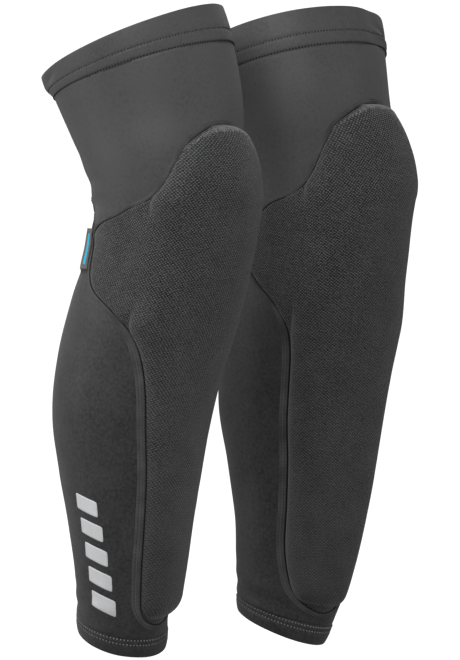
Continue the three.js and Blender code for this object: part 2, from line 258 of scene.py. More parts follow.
def foam_edges(k, side):
    """Angles of the foam's inner and outer edge at outline rows."""
    level, outer, inner = np.moveaxis(OUTLINE_ROW[side](k), -1, 0)
    per_mm = 1 / mm_per_degree(height(level))
    right = np.minimum(outer - PAD_MARGIN * per_mm, PAD_REACH)
    left = np.maximum(-inner + PAD_MARGIN * per_mm, -PAD_REACH)
    middle, room = (left + right) / 2, PAD_TIP * per_mm
    tight = right - left <= 2 * room
    return np.where(tight, middle - room, left), np.where(tight, middle + room, right)


def row_height(k, side):
    return height(OUTLINE_ROW[side](k)[..., 0])


LOOP_STEP = 1.5  # millimetres between the points of a flat outline
SMOOTHING_PASSES = 10


def flat_loop(rows, edges, side):
    """A closed curve in the flat plane, smooth and evenly spaced, from an outline's edges.

    Its points hold millimetres across and heights."""
    k = np.linspace(*rows, 900)
    z = row_height(k, side)
    left, right = edges(k, side)
    per = mm_per_degree(z)
    line = np.concatenate([np.stack([right * per, z], -1), np.stack([left * per, z], -1)[::-1]])
    line = np.concatenate([line, line[:1]])
    run = np.concatenate([[0], np.cumsum(np.linalg.norm(np.diff(line, axis=0), axis=1))])
    s = np.linspace(0, run[-1], int(run[-1] / LOOP_STEP), endpoint=False)
    loop = np.stack([np.interp(s, run, line[:, 0]), np.interp(s, run, line[:, 1])], -1)
    for _ in range(SMOOTHING_PASSES):
        loop = loop / 2 + (np.roll(loop, 1, 0) + np.roll(loop, -1, 0)) / 4
    return loop


def panel_edges(k, side):
    _, outer, inner = np.moveaxis(OUTLINE_ROW[side](k), -1, 0)
    return -inner, outer


BOTH_FOAMS = (FOAM_ROWS["shin"][0], FOAM_ROWS["knee"][1])
PANEL_LOOP = {side: flat_loop((0, LAST_ROW), panel_edges, side) for side in CROWN_RISE}
FOAM_LOOP = {side: flat_loop(BOTH_FOAMS, foam_edges, side) for side in CROWN_RISE}


def inside_distance(loop, x, z):
    """Distance in the flat plane to a closed curve, positive inside it."""
    shape = x.shape
    p = np.stack([x.ravel(), z.ravel()], -1)
    a, b = loop, np.roll(loop, -1, 0)
    ab = b - a
    result = np.empty(len(p))
    batch = 8000
    for start in range(0, len(p), batch):
        q = p[start : start + batch]
        aq = q[:, None] - a
        t = np.clip((aq * ab).sum(-1) / (ab * ab).sum(-1), 0, 1)
        d = np.sqrt(((aq - t[..., None] * ab) ** 2).sum(-1).min(1))
        crosses = (a[:, 1] > q[:, None, 1]) != (b[:, 1] > q[:, None, 1])
        with np.errstate(divide="ignore", invalid="ignore"):
            hit = a[:, 0] + (q[:, None, 1] - a[:, 1]) * ab[:, 0] / ab[:, 1]
        inside = (crosses & (q[:, None, 0] < hit)).sum(1) % 2 == 1
        result[start : start + batch] = np.where(inside, d, -d)
    return result.reshape(shape)


def flat_x(z, angle):
    return ((angle + 180) % 360 - 180) * mm_per_degree(z)


# ---------------- unevenness of the worn fabric


NOISE_CELLS = 64


def value_noise(x, y, seed, period=None):
    """Smooth seeded noise from -1 to 1, which repeats along x after a whole number of cells if asked."""
    table = np.random.default_rng(seed).uniform(-1, 1, (NOISE_CELLS, NOISE_CELLS))
    xi, yi = np.floor(x).astype(int), np.floor(y).astype(int)
    fx, fy = x - xi, y - yi
    fx, fy = fx * fx * (3 - 2 * fx), fy * fy * (3 - 2 * fy)
    wrap = period or NOISE_CELLS

    def at(i, j):
        return table[i % wrap % NOISE_CELLS, j % NOISE_CELLS]

    low = at(xi, yi) * (1 - fx) + at(xi + 1, yi) * fx
    high = at(xi, yi + 1) * (1 - fx) + at(xi + 1, yi + 1) * fx
    return low * (1 - fy) + high * fy


def bell(x, middle, width):
    return np.exp(-(((x - middle) / width) ** 2))


def circle(count, full=2 * np.pi):
    """Evenly spaced angles once round."""
    return np.linspace(0, full, count, endpoint=False)


def around(angle, middle):
    """Signed degrees from a middle angle, by the short way round."""
    return (angle - middle + 180) % 360 - 180


def unevenness(z, angle, side):
    """Millimetres that the sleeve's wrinkles and slack add to its lift."""
    seed = 5 if side == "right" else 11
    broad = 0.45 * value_noise(angle / 40, z / 55, seed, 9)
    broad = broad + 0.22 * value_noise(angle / 20, z / 24, seed + 1, 18)
    slack = bell(z, 0, 34) * smoothstep(np.abs(around(angle, 180)), 95, 40)
    folds = np.sin(z / 4.1 + 2.2 * value_noise(angle / 30, z / 50, seed + 2, 12))
    creases = slack * (0.9 * folds - 0.5)
    ankle = bell(z, -318, 17) * 0.55 * np.sin(z / 2.9 + 3 * value_noise(angle / 45, z / 40, seed + 3, 8))
    return broad + creases + ankle * smoothstep(np.abs(around(angle, 0)), 25, 80)


# ---------------- mesh making

CLOTH_FOOT = 400  # millimetres below the knee's centre from where a cloth's length counts


def cloth_place(across, z):
    """Each point's place on its cloth, in millimetres."""
    return np.stack([across, z + CLOTH_FOOT], -1)


def link(name, mesh, material):
    mesh.materials.append(material)
    piece = bpy.data.objects.new(name, mesh)
    bpy.context.scene.collection.objects.link(piece)
    return piece


def mesh_of(name, points, quads, material, side, fabric=None, turn=None):
    """An object of one guard, from points in metres and quads.

    fabric holds each point's place on the cloth, and turn is the cloth's length once round a ring."""
    if side == "right":
        quads = quads[:, ::-1]
    quads = np.ascontiguousarray(quads, np.int32)
    points = points.reshape(-1, 3)
    mesh = bpy.data.meshes.new(name)
    mesh.vertices.add(len(points))
    mesh.vertices.foreach_set("co", np.ascontiguousarray(points, np.float32).ravel())
    mesh.loops.add(quads.size)
    mesh.loops.foreach_set("vertex_index", quads.ravel())
    mesh.polygons.add(len(quads))
    mesh.polygons.foreach_set("loop_start", np.arange(0, quads.size, 4, dtype=np.int32))
    mesh.polygons.foreach_set("use_smooth", np.ones(len(quads), bool))
    if fabric is not None:
        layer = mesh.uv_layers.new(name="cloth")
        places = fabric.reshape(-1, 2)[quads]
        if turn:
            across = places[..., 0]
            across[across < across.max(1, keepdims=True) - turn / 2] += turn
        layer.uv.foreach_set("vector", np.ascontiguousarray(places, np.float32).ravel())
    mesh.update(calc_edges=True)
    mesh.validate()
    return link(f"{side}_{name}", mesh, material)


def grid_quads(rows, columns, close_rows=False, close_columns=False):
    bands = rows if close_rows else rows - 1
    strips = columns if close_columns else columns - 1
    i, j = np.meshgrid(np.arange(bands), np.arange(strips), indexing="ij")
    up, on = (i + 1) % rows, (j + 1) % columns
    corners = [i * columns + j, i * columns + on, up * columns + on, up * columns + j]
    return np.stack([c.ravel() for c in corners], -1)


def shell_of(name, z, angle, top, base, material, side, fabric, turn=None):
    """A closed cloth between two lifts off the leg. With a turn, its columns run right round."""
    outer, inner = point(z, angle, top, side), point(z, angle, base, side)
    ring = turn is not None
    rows, columns = outer.shape[:2]
    size = rows * columns
    top = grid_quads(rows, columns, close_columns=ring)
    parts = [top, top[:, ::-1] + size]
    ids = np.arange(size).reshape(rows, columns)

    def rim(line, close):
        a, b = line, np.roll(line, -1)
        if not close:
            a, b = a[:-1], b[:-1]
        return np.stack([a + size, b + size, b, a], -1)

    parts.append(rim(ids[0], ring))
    parts.append(rim(ids[-1][::-1], ring))
    if not ring:
        parts.append(rim(ids[:, 0][::-1], False))
        parts.append(rim(ids[:, -1], False))
    points, cloth = np.stack([outer, inner]), np.stack([fabric, fabric])
    return mesh_of(name, points, np.concatenate(parts), material, side, cloth, turn)


def swept(name, grid, material, side, fabric, turn=None):
    """A closed body from a grid whose rows and columns both close on themselves."""
    rows, columns = grid.shape[:2]
    quads = grid_quads(rows, columns, close_rows=True, close_columns=True)
    return mesh_of(name, grid, quads, material, side, fabric, turn)


def beads(name, grids, material, side):
    """Many small tubes as one object. grids holds the points of each tube, by its rings and their sides."""
    tubes, rings, sides = grids.shape[:3]
    one = grid_quads(rings, sides, close_columns=True)
    quads = (one[None] + (np.arange(tubes) * rings * sides)[:, None, None]).reshape(-1, 4)
    return mesh_of(name, grids, quads, material, side)


def stitch_tube(size, rings):
    """Shares along a stitch, angles round it and its radius, which thins at both ends."""
    along = np.linspace(0, 1, rings)[None, :, None]
    turn = circle(6)[None, None, :]
    return along, turn, size * np.sqrt(np.clip(1 - (2 * along - 1) ** 4, 0.02, 1))


# ---------------- materials


class Nodes:
    """A material's node tree, with short calls for its nodes."""

    def __init__(self, name, color, roughness, sheen=0.0, specular=0.3):
        self.material = bpy.data.materials.new(name)
        self.material.use_nodes = True
        self.tree = self.material.node_tree
        self.shader = self.tree.nodes["Principled BSDF"]
        looks = {"Base Color": (*color, 1), "Roughness": roughness, "Specular IOR Level": specular,
                 "Sheen Weight": sheen, "Sheen Roughness": 0.45}
        for name, value in looks.items():
            self.shader.inputs[name].default_value = value
        self.material.diffuse_color = (*color, 1)

    def add(self, kind, **settings):
        node = self.tree.nodes.new("ShaderNode" + kind)
        for key, value in settings.items():
            if key.startswith("in_"):
                node.inputs[key[3:].replace("_", " ")].default_value = value
            else:
                setattr(node, key, value)
        return node

    def link(self, output, target):
        self.tree.links.new(output, target)

    def math(self, operation, a, b=0.0):
        node = self.add("Math", operation=operation)
        for socket, value in zip(node.inputs, (a, b)):
            if isinstance(value, (int, float)):
                socket.default_value = value
            else:
                self.link(value, socket)
        return node.outputs[0]

    def times(self, a, b):
        return self.math("MULTIPLY", a, b)

    def plus(self, a, b):
        return self.math("ADD", a, b)

    def minus(self, a, b):
        return self.math("SUBTRACT", a, b)

    def cloth(self):
        """Where a point lies on its cloth, in millimetres: along its width and along its length."""
        split = self.add("SeparateXYZ")
        self.link(self.add("UVMap", uv_map="cloth").outputs[0], split.inputs[0])
        return split.outputs[0], split.outputs[1]

    def noise(self, scale, detail=3.0):
        node = self.add("TexNoise", in_Scale=scale, in_Detail=detail)
        self.link(self.add("TexCoord").outputs["Object"], node.inputs["Vector"])
        return node.outputs["Fac"]

    def tint(self, value, dark, light, low=0.3, high=0.7):
        """The base colour runs from dark to light as the value goes from low to high."""
        ramp = self.add("ValToRGB")
        first, last = ramp.color_ramp.elements
        first.position, last.position = low, high
        first.color, last.color = (*dark, 1), (*light, 1)
        self.link(value, ramp.inputs[0])
        self.link(ramp.outputs[0], self.shader.inputs["Base Color"])

    def bump(self, value, depth, strength=1.0):
        """depth is in metres."""
        node = self.add("Bump", in_Strength=strength, in_Distance=depth)
        self.link(value, node.inputs["Height"])
        self.link(node.outputs[0], self.shader.inputs["Normal"])

    def rough(self, value, low, high):
        node = self.add("MapRange")
        self.link(value, node.inputs["Value"])
        node.inputs["To Min"].default_value = low
        node.inputs["To Max"].default_value = high
        self.link(node.outputs[0], self.shader.inputs["Roughness"])

    def flecks(self, scale, strength, detail=3.0):
        """Noise about zero."""
        return self.times(self.minus(self.noise(scale, detail), 0.5), strength)

    def climb(self, value, start, span):
        """From 0 at the start to 1 a span further on."""
        share = self.math("DIVIDE", self.minus(value, start), span)
        share.node.use_clamp = True
        return share

    def wave(self, coordinate, pitch, shift=None):
        """From 0 to 1 and back, once a pitch."""
        phase = self.times(coordinate, 2 * math.pi / pitch)
        if shift is not None:
            phase = self.plus(phase, shift)
        return self.math("MULTIPLY_ADD", self.math("SINE", phase), 0.5)

    def stagger(self, row):
        """Half a turn on every other row."""
        odd = self.math("FRACT", self.times(self.math("FLOOR", row), 0.5))
        return self.times(odd, 2 * math.pi)

    def crest(self, row):
        """From 0 to 1 and back over each row."""
        return self.math("SINE", self.times(self.math("FRACT", row), math.pi))


def grey(value):
    """A hair cooler than neutral."""
    return (value, value, value * 1.03)


def jersey():
    """Fine warp knit with a soft sheen. Its colour is paler up the thigh, where it is stretched most, and
    darker down the calf, which is also painted shade for light that falls off lower down.
    """
    n = Nodes("jersey", grey(0.062), 0.55, sheen=0.18, specular=0.4)
    u, v = n.cloth()
    wales = n.wave(u, 0.85)
    courses = n.wave(v, 0.7)
    grain = n.times(wales, courses)
    speckle = n.flecks(420, 1.1)
    uneven = n.plus(n.times(grain, 0.4), n.times(n.noise(34, 4.0), 0.6))
    # painted shade in part: this ramp lightens the colour up the leg, partly for the thigh's stretch and
    # partly as shade for the weaker light lower down
    stretch = n.times(n.climb(v, CLOTH_FOOT - 160, 200), 0.6)
    shade = n.plus(n.plus(uneven, speckle), stretch)
    n.tint(shade, grey(0.014), grey(0.078), 0.05, 1.35)
    n.rough(n.noise(90), 0.42, 0.58)
    n.bump(grain, 0.00012, 0.7)
    return n.material


def abrasion_knit():
    """Coarse knit of short floats in staggered rows. Its colour contrast grows towards the knee, partly
    because the knit opens there and partly as painted light, since the knee is lit more than the shin.
    """
    n = Nodes("abrasion_knit", grey(0.045), 0.8, sheen=0.3, specular=0.25)
    u, v = n.cloth()
    lean = 0.14
    wander = n.flecks(480, 5)
    rise = n.minus(n.times(v, math.cos(lean)), n.times(u, math.sin(lean)))
    along = n.plus(n.times(u, math.cos(lean)), n.times(v, math.sin(lean)))
    row = n.plus(n.math("DIVIDE", rise, 1.2), n.times(wander, 0.1))
    floats = n.wave(along, 2.3, n.plus(n.stagger(row), wander))
    knit = n.plus(n.times(floats, n.crest(row)), n.flecks(900, 1.5, 2.0))
    # painted light in part: the knit's colour contrast rises towards the knee because the knee is lit more,
    # and the rest is the knit opening there
    knee_opening_and_light = n.climb(v, CLOTH_FOOT - 280, 300)
    contrast = n.plus(n.times(knee_opening_and_light, 0.7), 0.4)
    shade = n.plus(n.times(n.minus(knit, 0.4), contrast), 0.4)
    n.tint(n.plus(shade, n.flecks(45, 0.3, 4.0)), grey(0.014), grey(0.15), 0.0, 1.0)
    n.rough(knit, 0.88, 0.66)
    n.bump(knit, 0.00032, 0.8)
    return n.material


def mesh_knit():
    """Open stretch mesh, with small eyelets in staggered rows."""
    n = Nodes("mesh_knit", grey(0.03), 0.8, sheen=0.1, specular=0.25)
    u, v = n.cloth()
    row = n.math("DIVIDE", v, 1.5)
    eyelet = n.times(n.wave(u, 1.9, n.stagger(row)), n.crest(row))
    n.tint(eyelet, grey(0.042), grey(0.008), 0.35, 0.7)
    n.bump(eyelet, -0.0004, 0.8)
    return n.material


def seam_tape():
    """The folded strip beside the front panel: soft knit ribs, with painted shade along its inner edge next
    to the panel.
    """
    n = Nodes("seam_tape", grey(0.055), 0.75, sheen=0.12, specular=0.25)
    u, v = n.cloth()
    ribs = n.times(n.wave(v, 1.3), n.wave(u, 1.5))
    # painted shade: the strip darkens along its inner edge next to the panel, where the seam dips
    painted_groove_shade = n.times(n.minus(0.6, u), 3.0)
    painted_groove_shade.node.use_clamp = True
    shade = n.plus(n.times(ribs, 0.35), n.times(n.noise(60), 0.7))
    n.tint(n.minus(shade, n.times(painted_groove_shade, 0.9)), grey(0.008), grey(0.14), 0.0, 0.72)
    n.bump(ribs, 0.00018, 0.6)
    return n.material


def thread(name, dark, light):
    n = Nodes(name, grey(light), 0.6, sheen=0.15, specular=0.35)
    n.tint(n.noise(900, 2.0), grey(dark), grey(light))
    return n.material


def lining_cloth():
    n = Nodes("lining_cloth", grey(0.028), 0.9, sheen=0.15, specular=0.2)
    u, v = n.cloth()
    loops = n.times(n.wave(u, 1.2), n.wave(v, 1.2))
    n.tint(loops, grey(0.018), grey(0.036), 0.0, 1.0)
    n.bump(loops, 0.0002, 0.7)
    return n.material


def silicone():
    n = Nodes("silicone", grey(0.014), 0.32, specular=0.5)
    n.rough(n.noise(160), 0.26, 0.42)
    n.bump(n.noise(700), 0.00005, 0.5)
    return n.material


def foam_material():
    n = Nodes("foam", grey(0.11), 0.95, specular=0.2)
    cells = n.add("TexVoronoi", in_Scale=900.0)
    n.link(n.add("TexCoord").outputs["Object"], cells.inputs["Vector"])
    n.tint(cells.outputs["Distance"], grey(0.09), grey(0.13), 0.0, 0.8)
    n.bump(cells.outputs["Distance"], 0.0002, 0.6)
    return n.material


def reflective_film():
    """Pale film that was pressed on, with the knit under it just telling through."""
    n = Nodes("reflective_film", (0.9, 0.9, 0.91), 0.42, specular=0.5)
    u, v = n.cloth()
    knit = n.times(n.wave(u, 0.85), n.wave(v, 0.7))
    shade = n.plus(n.times(knit, 0.3), n.times(n.noise(120), 0.7))
    n.tint(shade, (0.84, 0.85, 0.86), (0.94, 0.945, 0.95))
    n.rough(n.noise(300), 0.36, 0.5)
    n.bump(knit, 0.0001, 0.5)
    return n.material


def label_weave():
    """Grey woven tape with one plain blue block, given by its middle and half its size."""
    n = Nodes("label_weave", (0.2, 0.2, 0.2), 0.6, sheen=0.1)
    u, v = n.cloth()
    inside = []
    for place, middle, half in ((u, 4.6, 2.0), (v, 16.0, 12.0)):
        within = n.math("COMPARE", place, middle)
        within.node.inputs[2].default_value = half
        inside.append(within)
    block = n.times(*inside)
    weave = n.times(n.wave(u, 0.5), n.wave(v, 0.5))
    n.tint(block, (0.17, 0.165, 0.16), (0.03, 0.6, 0.95), 0.4, 0.6)
    n.bump(weave, 0.0001, 0.6)
    return n.material


JERSEY, KNIT, MESH, TAPE = jersey(), abrasion_knit(), mesh_knit(), seam_tape()
THREAD, PALE_THREAD = thread("thread", 0.003, 0.009), thread("pale_thread", 0.16, 0.3)
LINING, SILICONE, FOAM = lining_cloth(), silicone(), foam_material()
FILM, LABEL = reflective_film(), label_weave()

# ---------------- how the pieces move


def declare(piece, slot, side, *nodes, body=None):
    """Puts a piece on the body that carries it, or with no body bakes its placement into its mesh, and
    hides the CAD nodes that it replaces. Its slot is not used.
    """
    if body:
        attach(piece, f"{side}_{body}")
    else:
        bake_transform(piece)
    if nodes:
        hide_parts(*(f"{side}_{node}" for node in nodes))


# ---------------- the sleeve

SLEEVE_COLUMNS = 168
SLEEVE_ROUND = 360  # millimetres of cloth once round
SUNK, THINNED = 1.15, 0.95  # how far the sleeve sinks in and thins under the front panel


def level_line(z):
    """An edge that keeps its height at every angle."""
    return lambda angle: np.full(np.shape(angle), float(z))


def back_high(angle):
    """The upper edge of the mesh behind the knee, an arch between the wings."""
    share = np.clip((angle % 360 - WING_ANGLE) / (360 - 2 * WING_ANGLE), 0, 1)
    return BACK_CORNER + BACK_RISE * np.sin(np.pi * share)


def sleeve_lift(z, angle, side):
    """Lift of the sleeve's outer face, and how far it is covered: it dips under the front panel."""
    covered = smoothstep(inside_distance(PANEL_LOOP[side], flat_x(z, angle), z), 0.5, 5)
    return OUTER_LIFT + unevenness(z, angle, side) * (1 - covered) - SUNK * covered, covered


def tube(name, low, high, rows, material, side):
    """A stretch of the sleeve all the way round, between two edges that depend on the angle."""
    angle = circle(SLEEVE_COLUMNS, 360)[None, :]
    v = np.linspace(0, 1, rows)[:, None]
    z = low(angle) + (high(angle) - low(angle)) * v
    angle = np.broadcast_to(angle, z.shape)
    lift, covered = sleeve_lift(z, angle, side)
    wall = FABRIC_WALL - THINNED * covered
    fabric = cloth_place(angle / 360 * SLEEVE_ROUND, z)
    return shell_of(name, z, angle, lift, lift - wall, material, side, fabric, SLEEVE_ROUND)


def build_sleeve(side):
    low = level_line(-SHIN_LENGTH + ANKLE_HEM - 1)
    calf = tube("calf_sleeve", low, level_line(BACK_LOW), 130, JERSEY, side)
    declare(calf, "jersey", side, "calf_panel", body="shin")
    behind = tube("knee_mesh", level_line(BACK_LOW), back_high, 44, MESH, side)
    declare(behind, "mesh", side, "knee_back_panel")
    high = level_line(THIGH_LENGTH - THIGH_HEM + 1)
    thigh = tube("thigh_sleeve", back_high, high, 64, JERSEY, side)
    declare(thigh, "jersey", side, "thigh_panel")


# ---------------- hems

HEM_COLUMNS = 240
HEM_ROUND = {1: 440, -1: 230}  # millimetres of cloth round the thigh's and the ankle's
THIGH_ROWS, ANKLE_ROWS = (1.5, 9.5), (1.5, 4.7)  # stitch rows, from a hem's sewn edge
STITCH_PITCH = 2.5
GRIPPER_INSET = 5
DOT_PITCH, DOT_ROWS, DOT_RADIUS = 5, 4.6, 1.7


def hem_profile(low, high, sign, rows):
    """Height and lift round a folded hem's cross-section. sign is 1 where the open edge is the upper one.

    rows are the heights of the stitch rows, which pull the hem in."""
    t = np.linspace(0, 1, 34)
    z_out = low + (high - low) * t if sign > 0 else high - (high - low) * t
    edge = high if sign > 0 else low
    inner_edge = low if sign > 0 else high
    swell = 0.75 * np.sin(np.pi * np.clip(np.abs(z_out - inner_edge) / abs(edge - inner_edge), 0, 1)) ** 0.8
    dents = sum((0.4 if sign > 0 else 0.6) * bell(z_out, row, 0.9) for row in rows)
    lift_out = HEM_LIFT - 0.55 + swell - dents
    lift_out = np.where(t < 0.04, lift_out - 0.6, lift_out)
    turn = np.linspace(0, np.pi, 9)[1:-1]
    half = (lift_out[-1] - PANEL_LIFT) / 2
    z_turn = edge + sign * np.sin(turn) * half * 0.75
    lift_turn = PANEL_LIFT + half + np.cos(turn) * half
    z_in = np.linspace(edge, inner_edge, 14)
    lift_in = np.full(14, PANEL_LIFT)
    return np.concatenate([z_out, z_turn, z_in]), np.concatenate([lift_out, lift_turn, lift_in])


def hem_wave(z, angle, side, top):
    """Millimetres that the unevenness of a hem adds to its lift, and on the thigh its folds."""
    seed = 21 if side == "right" else 27
    wave = 0.5 * value_noise(angle / 30, np.full_like(angle, 0.4), seed, 12)
    if not top:
        return wave
    wave = wave + 0.35 * value_noise(angle / 15, np.full_like(angle, 0.7), seed + 1, 24)
    return wave + hem_fold(z, angle, side)


def hem_fold(z, angle, side):
    """Folds of a thigh hem: the right one curls outwards behind its side, the left one creases in front."""
    if side == "right":
        crease = bell(around(angle, 121) + 0.9 * (z - 121), 0, 9) * bell(z, 121, 4.5)
        curl = bell(around(angle, 143), 0, 17) * smoothstep(z, 106, 119)
        return 3.0 * curl - 1.6 * crease
    slant = z - 112 + 0.25 * (angle - 32)
    crease = bell(around(angle, 34), 0, 13) * (bell(slant, 0, 2.2) - 0.9 * bell(slant, 4.5, 2.4))
    return 1.3 * crease - 1.4 * bell(around(angle, 17), 0, 8) * smoothstep(z, 96, 110)


def build_hem(side, name, low, high, sign, rows, node, body):
    z, lift = hem_profile(low, high, sign, rows)
    angle = circle(HEM_COLUMNS, 360)
    zz, aa = np.meshgrid(z, angle, indexing="ij")
    outward = smoothstep(lift, PANEL_LIFT, HEM_LIFT)[:, None]
    pucker = 0.16 * np.sin(np.radians(aa) * 62) * sum(bell(zz, row, 2.6) for row in rows)
    ll = lift[:, None] + hem_wave(zz, aa, side, sign > 0) + pucker * outward
    fabric = cloth_place(aa / 360 * HEM_ROUND[sign], zz)
    grid = point(zz, aa, ll, side)
    piece = swept(name, grid[::-1] if sign < 0 else grid, JERSEY, side, fabric, HEM_ROUND[sign])
    declare(piece, "jersey", side, node, body=body)


def stitch_ring(side, name, z, lift, material, node, body):
    """A row of stitches all round the sleeve: short threads end to end, each dipping into the cloth."""
    count = int(360 * float(mm_per_degree(z)) / STITCH_PITCH)
    start = np.arange(count)[:, None, None] * 360 / count
    t, turn, thick = stitch_tube(0.6, 7)
    angle = start + (0.14 + 0.52 * t) * 360 / count + 0 * turn
    zz = z + thick * np.sin(turn)
    ll = lift + hem_wave(zz, angle, side, z > 0) + thick * np.cos(turn) + 0.35 * np.sin(np.pi * t) - 0.25
    piece = beads(name, point(zz, angle, ll, side), material, side)
    declare(piece, "thread", side, node, body=body)


def build_hems(side):
    low = THIGH_LENGTH - THIGH_HEM
    top_rows = [low + row for row in THIGH_ROWS]
    build_hem(side, "thigh_cuff", low, THIGH_LENGTH - 1, 1, top_rows, "thigh_hem", "thigh")
    high = -SHIN_LENGTH + ANKLE_HEM
    ankle_rows = [high - row for row in ANKLE_ROWS]
    build_hem(side, "ankle_cuff", -SHIN_LENGTH + 1, high, -1, ankle_rows, "ankle_hem", "shin")
    for name, z, node, body in (
        ("thigh_stitches_lower", top_rows[0], "thigh_stitch_lower", "thigh"),
        ("thigh_stitches_upper", top_rows[1], "thigh_stitch_upper", "thigh"),
        ("ankle_stitches_upper", ankle_rows[0], "ankle_stitch_upper", "shin"),
        ("ankle_stitches_lower", ankle_rows[1], "ankle_stitch_lower", "shin"),
    ):
        material = THREAD if z > 0 else PALE_THREAD
        stitch_ring(side, name, z, HEM_LIFT - 0.4, material, node, body)
    for name, edge, inwards, depth, rows, body in (
        ("thigh", THIGH_LENGTH, -1, 16, 3, "thigh"),
        ("ankle", -SHIN_LENGTH, 1, 6, 1, "shin"),
    ):
        middle = edge + inwards * (GRIPPER_INSET + depth / 2)
        film = gripper_film(side, f"{name}_silicone", middle, depth)
        dots = gripper_dots(side, f"{name}_silicone_dots", middle, rows)
        declare(film, "silicone", side, f"{name}_gripper", body=body)
        declare(dots, "silicone", side, body=body)


def rounded(wave, power):
    """Pushes a sine or cosine towards its ends, so that a circle becomes a rounded box."""
    return np.sign(wave) * np.abs(wave) ** power


def gripper_film(side, name, middle, depth):
    """Silicone printed inside a hem as a thin film."""
    u = circle(12)
    z = middle + depth / 2 * rounded(np.cos(u), 0.4)
    lift = 0.75 + 0.3 * rounded(np.sin(u), 0.5)
    zz, aa = np.meshgrid(z, circle(200, 360), indexing="ij")
    ll = lift[:, None] + hem_wave(zz, aa, side, middle > 0)
    return swept(name, point(zz, aa, ll, side)[::-1], SILICONE, side, np.stack([aa, zz], -1))


def gripper_dots(side, name, middle, rows):
    """Rows of low round dots that stand inwards from a gripper's film."""
    per = float(mm_per_degree(middle))
    count = int(360 * per / DOT_PITCH)
    row = np.repeat(np.arange(rows), count)
    at = (np.tile(np.arange(count), rows) + 0.5 * (row % 2)) * 360 / count
    heights = middle + (row - (rows - 1) / 2) * DOT_ROWS
    t = np.linspace(0, 1, 4)[None, :, None]
    turn = circle(10)[None, None, :]
    radius = DOT_RADIUS * np.cos(t * np.pi / 2 * 0.97)
    angle = at[:, None, None] + radius * np.cos(turn) / per
    zz = heights[:, None, None] + radius * np.sin(turn)
    ll = 0.5 - 0.7 * np.sin(t * np.pi / 2) + hem_wave(zz, angle, side, middle > 0)
    return beads(name, point(zz, angle, ll, side), SILICONE, side)


# ---------------- the padded front

COVER_LIFT, COVER_WALL = 1.9, 1.2
LINING_LIFT = 0.85
FOAM_BASE = 1.75


def front_rows(first, last, step, side):
    """Outline rows so spaced that neither their heights nor their edges step too far."""
    k = np.linspace(first, last, 4000)
    level, outer, inner = np.moveaxis(OUTLINE_ROW[side](k), -1, 0)
    z = height(level)
    per = mm_per_degree(z)
    run = np.maximum.reduce([np.abs(np.gradient(z)) / step, np.abs(np.gradient(outer * per)) / (2.4 * step),
                             np.abs(np.gradient(inner * per)) / (2.4 * step)])
    run = np.concatenate([[0], np.cumsum((run[1:] + run[:-1]) / 2)])
    return np.interp(np.linspace(0, run[-1], int(run[-1]) + 2), run, k)


def front_angles(k, margin, foam, side):
    """Columns across the front panel: evenly over its margins, closer together at the foam's edges."""
    inner, outer = panel_edges(k, side)
    left, right = foam_edges(k, side)
    t = np.linspace(0, 1, foam + 1)
    t = 0.45 * t + 0.55 * (1 - np.cos(np.pi * t)) / 2
    m = np.linspace(0, 1, margin + 1)
    parts = [inner[:, None] + (left - inner)[:, None] * m[:-1], left[:, None] + (right - left)[:, None] * t,
             right[:, None] + (outer - right)[:, None] * m[1:]]
    return np.concatenate(parts, 1)


def front_grid(step, margin, foam, side):
    """Heights and angles over the whole front panel, and each point's place on its cloth."""
    k = front_rows(0, LAST_ROW, step, side)
    angle = front_angles(k, margin, foam, side)
    z = np.broadcast_to(row_height(k, side)[:, None], angle.shape)
    return z, angle, cloth_place(angle * mm_per_degree(z) + 200, z)


def bulge(z, angle, side, edge):
    """Millimetres that the foam lifts the cloth over it. edge is the distance in from the panel's edge.

    The lift is steep where the foam ends beside that edge, and gentle where the panel runs into a wing."""
    inside = inside_distance(FOAM_LOOP[side], flat_x(z, angle), z)
    share = np.clip((inside + 5.0) / (PAD_RADIUS + 5.0), 0, 1)
    steep = np.clip(1 - (1 - share) ** 2.3, 0, 1) ** 0.62
    gentle = smoothstep(inside, -28, 22)
    return foam_height(level_of(z))[..., 0] * (steep + (gentle - steep) * smoothstep(edge - inside, 4, 24))


def cover_lift(z, angle, side):
    seed = 31 if side == "right" else 37
    edge = inside_distance(PANEL_LOOP[side], flat_x(z, angle), z)
    rise = bulge(z, angle, side, edge)
    tucked = 0.9 * bell(edge, 0, 1.2)
    broad = 0.35 * value_noise(angle / 18 + 7, z / 34, seed)
    broad = broad + 0.12 * value_noise(angle / 7 + 7, z / 11, seed + 1)
    return PANEL_LIFT + COVER_LIFT + rise + broad * smoothstep(edge, 0, 12) - tucked


def build_cover(side):
    z, angle, fabric = front_grid(1.25, 22, 80, side)
    lift = cover_lift(z, angle, side)
    cover = shell_of("front_cover", z, angle, lift, lift - COVER_WALL, KNIT, side, fabric)
    declare(cover, "abrasion_knit", side, "front_panel")


def build_lining(side):
    z, angle, fabric = front_grid(3, 10, 24, side)
    ripple = 0.12 * value_noise(angle / 12 + 9, z / 14, 41)
    lining = shell_of("lining", z, angle, LINING_LIFT, 0.12 + ripple, LINING, side, fabric)
    declare(lining, "lining", side, "pocket_lining")


